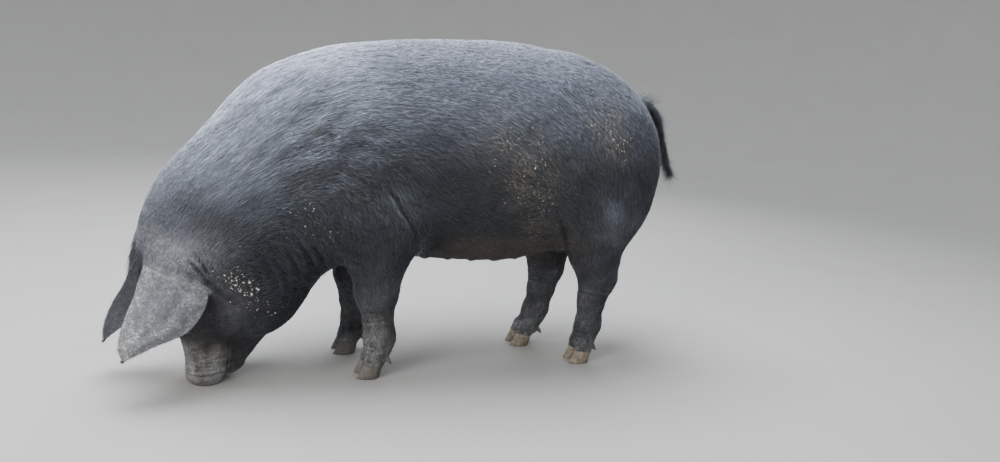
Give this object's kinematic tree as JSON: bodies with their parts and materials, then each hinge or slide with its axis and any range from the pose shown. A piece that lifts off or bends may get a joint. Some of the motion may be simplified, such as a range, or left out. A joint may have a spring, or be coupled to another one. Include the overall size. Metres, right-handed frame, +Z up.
{
  "type": "pig",
  "caption": "Life-size heavy black lop-eared pig, standing still with its head lowered and its snout on the ground.",
  "frame": {"origin": "on the ground, under the middle of the pig's bounding box", "axes": "+Z up; the head is towards -X and the tail towards +X; the pig's left side is towards -Y"},
  "size_m": [1.6832, 0.5764, 0.9695],
  "materials": {
    "coat": "matt black skin under short, flat, sparse black hair with a slate sheen and dried mud",
    "ear": "dusty dark grey skin with fine hair",
    "snout": "bare, dark, muddy skin, slightly damp",
    "eye": "wet, dark brown",
    "hoof": "horn, worn and coated with pale mud",
    "hoof_dark": "dark slate horn with mud at its edge"
  },
  "bodies": {
    "root": {"head": "coat", "jaw": "coat", "neck": "coat", "forequarters": "coat", "barrel": "coat", "hindquarters": "coat", "tail": "coat", "fore_left_leg": "coat", "fore_left_foot": "coat", "fore_right_leg": "coat", "fore_right_foot": "coat", "hind_left_leg": "coat", "hind_left_foot": "coat", "hind_right_leg": "coat", "hind_right_foot": "coat", "ear_left": "ear", "ear_right": "ear", "eye_left": "eye", "eye_right": "eye", "snout": "snout", "fore_left_hoof_near": "hoof", "fore_left_dewclaw_near": "hoof", "fore_left_hoof_far": "hoof", "fore_left_dewclaw_far": "hoof", "fore_right_hoof_near": "hoof_dark", "fore_right_dewclaw_near": "hoof_dark", "fore_right_hoof_far": "hoof_dark", "fore_right_dewclaw_far": "hoof_dark", "hind_left_hoof_near": "hoof", "hind_left_dewclaw_near": "hoof", "hind_left_hoof_far": "hoof", "hind_left_dewclaw_far": "hoof", "hind_right_hoof_near": "hoof", "hind_right_dewclaw_near": "hoof", "hind_right_hoof_far": "hoof", "hind_right_dewclaw_far": "hoof"}
  },
  "joints": []
}
